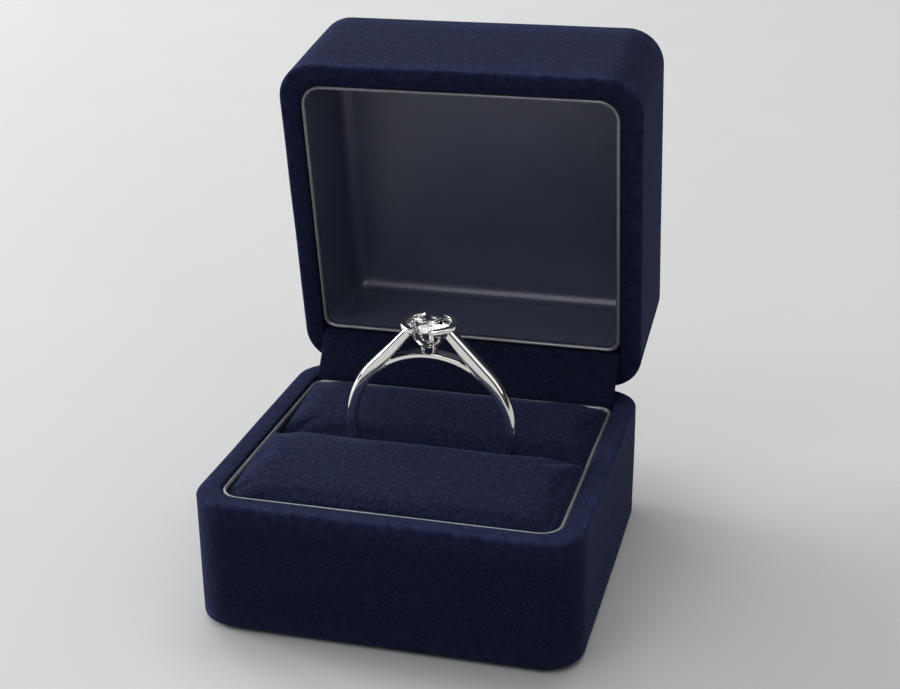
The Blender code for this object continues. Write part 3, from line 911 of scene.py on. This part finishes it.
def turned(name, profile, steps, sharp=35):
    """A (radius, z) profile turned about the upright axis through the head of the ring."""
    angles = [2 * pi * step / steps for step in range(steps)]
    loops = [
        [Vector((HEAD_X + radius * cos(a), radius * sin(a), z)) for a in angles]
        for radius, z in profile
    ]
    return finish_mesh(loft(loops, ring=True), name, sharp)


def window_tool(floor_z):
    """A slot with a round lower end that cuts both windows of the setting."""
    half = WINDOW_HALF_WIDTH
    outline = [(half, BEZEL_TOP + 1.0)]
    outline += [
        (half * cos(a), floor_z + half + half * sin(a))
        for a in [radians(-180 * step / 24) for step in range(25)]
    ]
    outline += [(-half, BEZEL_TOP + 1.0)]
    loops = [[Vector((HEAD_X + x, y, z)) for x, z in outline] for y in (-5.0, 5.0)]
    return finish_mesh(loft(loops), "window", 30)


def make_setting():
    """The setting: a rounded collar over a thin cup, split front and back by two windows."""
    top = BEZEL_TOP
    collar = 3.4
    roll = 0.16
    height = 0.6
    foot = BEZEL_LOW.z - 0.06
    outside = arc(collar - roll, top - roll, roll, 90, 0, 5)
    outside += arc(collar - roll, top - height + roll, roll, 0, -70, 4)
    outside += [(2.95, top - 0.76), (2.62, top - 1.2), (2.05, top - 1.95), (1.5, top - 2.6)]
    outside += [(1.08, top - 3.05), (0.95, foot)]
    inside = [(0.5, foot), (0.55, top - 2.85), (1.45, top - 1.95), (2.2, top - 1.1)]
    inside += [(2.72, top - 0.56), (2.72, top - 0.28), (2.66, top - 0.22), (2.64, top - 0.06)]
    inside += [(2.70, top)]
    setting = turned("ring_setting", outside + inside, 96)
    boolean(setting, [window_tool(BEZEL_LOW.z + WINDOW_SILL)], "DIFFERENCE")
    soften = setting.modifiers.new("soft_edges", "BEVEL")
    soften.width = 0.07 * MM
    soften.segments = 2
    soften.limit_method = "ANGLE"
    soften.angle_limit = radians(35)
    applied(setting)
    setting.data.shade_smooth()
    setting.data.set_sharp_from_angle(angle=radians(35))
    dress(setting, WHITE_GOLD, "ring", "polished_white_gold", "ring_bezel")


make_setting()


def make_diamond():
    """A round brilliant: a disc cut by the planes of its 57 facets."""
    radius = 2.66
    girdle_top = BEZEL_TOP - 0.50
    girdle_bottom = girdle_top - 0.08
    table = 1.5
    crown = radians(30.0)
    pavilion = radians(40.4)
    bm = bmesh.new()
    bmesh.ops.create_cone(bm, cap_ends=True, segments=64, radius1=radius, radius2=radius, depth=8.0)
    bmesh.ops.translate(bm, vec=(0, 0, girdle_top), verts=bm.verts)

    def facet(azimuth, slope, level, at_radius, upward):
        """Cuts off what lies outside a plane through (at_radius, level), leaning in by slope."""
        way = Vector((cos(azimuth), sin(azimuth), 0))
        normal = way * sin(slope) + Vector((0, 0, cos(slope) * upward))
        point = way * at_radius + Vector((0, 0, level))
        geometry = bm.verts[:] + bm.edges[:] + bm.faces[:]
        cut = bmesh.ops.bisect_plane(
            bm, geom=geometry, dist=1e-6, plane_co=point, plane_no=normal, clear_outer=True
        )
        edges = [item for item in cut["geom_cut"] if isinstance(item, bmesh.types.BMEdge)]
        if edges:
            bmesh.ops.holes_fill(bm, edges=edges)

    table_z = girdle_top + (radius - table) * tan(crown)
    facet(0.0, 0.0, table_z, 0.0, 1)
    for step in range(8):
        azimuth = radians(45 * step)
        facet(azimuth, crown, girdle_top, radius, 1)
        facet(azimuth, pavilion, girdle_bottom, radius, -1)
        star_slope = radians(17.0)
        facet(azimuth + radians(22.5), star_slope, table_z, table * cos(radians(22.5)), 1)
    for step in range(16):
        azimuth = radians(22.5 * step + 11.25)
        facet(azimuth, radians(36.0), girdle_top, radius * 0.997, 1)
        facet(azimuth, radians(41.4), girdle_bottom, radius * 0.997, -1)
    facet(0.0, 0.0, girdle_bottom - (radius - 0.07) * tan(pavilion), 0.0, -1)
    bmesh.ops.translate(bm, vec=(HEAD_X, 0, 0), verts=bm.verts)
    stone = finish_mesh(bm, "ring_diamond", 1)
    dress(stone, CLEAR_STONE, "ring", "clear_stone", "ring_stone")


make_diamond()


# ---------------------------------------------------------------- CAD nodes that stay

KEPT = {
    "base_shell": SHELL_PLASTIC,
    "lid_shell": SHELL_PLASTIC,
    "base_tray": TRAY_PLASTIC,
    "snap_spring": SPRING_STEEL,
}
STEEL_PARTS = ("hinge_base_leaf", "hinge_lid_leaf", "hinge_pin", "snap_spring_rivet") + tuple(
    f"hinge_{half}_rivet_{side}" for half in ("base", "lid") for side in ("left", "right")
)
KEPT.update({name: STEEL for name in STEEL_PARTS})
for name, finish in KEPT.items():
    node = frame["nodes"][name]
    node.data.materials.clear()
    node.data.materials.append(finish)


# ---------------------------------------------------------------- studio


def make_floor():
    bm = bmesh.new()
    bmesh.ops.create_grid(bm, x_segments=8, y_segments=8, size=2500.0)
    floor = finish_mesh(bm, "studio_floor")
    f = Finish("pale_floor", Roughness=0.6, Specular_IOR_Level=0.25)
    tone = f.mix(f.noise(40.0, 2.0), (0.55, 0.545, 0.54), (0.58, 0.575, 0.57))
    floor.data.materials.append(f.set(Base_Color=tone))


def area_light(name, place, size, power, colour=(1, 1, 1), card=False):
    """A soft light aimed at the box. A card only shows in what is glossy or clear."""
    data = bpy.data.lights.new(name, "AREA")
    data.shape = "RECTANGLE"
    data.size, data.size_y = size
    data.energy = power
    data.color = colour
    light = bpy.data.objects.new(name, data)
    light.visible_camera = False
    light.visible_diffuse = not card
    light.location = place
    aim = Vector((0.0, 0.0, 0.03)) - Vector(place)
    light.rotation_euler = aim.to_track_quat("-Z", "Y").to_euler()
    bpy.context.scene.collection.objects.link(light)


def make_world():
    """A soft studio sky: bright overhead, dark at the level of the box."""
    world = bpy.data.worlds.new("studio")
    world.use_nodes = True
    nodes = world.node_tree.nodes
    links = world.node_tree.links
    direction = nodes.new("ShaderNodeTexCoord").outputs["Generated"]
    split = nodes.new("ShaderNodeSeparateXYZ")
    links.new(direction, split.inputs["Vector"])
    strength = nodes.new("ShaderNodeMapRange")
    strength.interpolation_type = "SMOOTHSTEP"
    ends = (("From Min", 0.1), ("From Max", 0.95), ("To Min", 0.04), ("To Max", 0.65))
    for socket, number in ends:
        strength.inputs[socket].default_value = number
    links.new(split.outputs["Z"], strength.inputs["Value"])
    background = nodes["Background"]
    background.inputs["Color"].default_value = (0.95, 0.97, 1.0, 1.0)
    links.new(strength.outputs["Result"], background.inputs["Strength"])
    bpy.context.scene.world = world


def make_lights():
    """Soft light from above and the left, with cards in front that the ring and stone reflect."""
    area_light("overhead", (-0.10, 0.50, 1.0), (0.9, 0.7), 5.2)
    area_light("key_left_back", (-0.95, 0.78, 0.58), (0.5, 0.5), 4.5, (0.97, 0.98, 1.0))
    area_light("left_strip", (-1.30, 0.18, 0.40), (0.5, 0.5), 17.0, (0.97, 0.98, 1.0))
    area_light("left_front", (-0.45, -0.45, 0.75), (0.4, 0.4), 0.8)
    area_light("front_card", (0.15, -0.75, 0.95), (0.9, 0.7), 6.0, card=True)
    area_light("right_card", (0.95, 0.10, 0.60), (0.5, 0.7), 1.6, (1.0, 0.98, 0.95), card=True)
    area_light("spark_card", (0.35, -0.20, 1.0), (0.14, 0.14), 1.2, card=True)
    area_light("lid_card", (-0.05, -0.95, 0.42), (0.35, 0.2), 1.6, card=True)


def make_camera():
    azimuth = radians(15.159)
    elevation = radians(22.114)
    roll = radians(-0.631)
    distance = 183.75
    target = Vector((2.857, 0.0, 29.013))
    back = Vector((sin(azimuth) * cos(elevation), -cos(azimuth) * cos(elevation), sin(elevation)))
    data = bpy.data.cameras.new("camera")
    data.lens = 63.05
    data.sensor_width = 36.0
    data.clip_start = 0.01
    camera = bpy.data.objects.new("camera", data)
    camera.location = (target + back * distance) * MM
    turn = (-back).to_track_quat("-Z", "Y") @ Quaternion((0, 0, 1), roll)
    camera.rotation_euler = turn.to_euler()
    bpy.context.scene.collection.objects.link(camera)
    bpy.context.scene.camera = camera


make_floor()
make_world()
make_lights()
make_camera()
bpy.context.scene.view_settings.view_transform = "Standard"
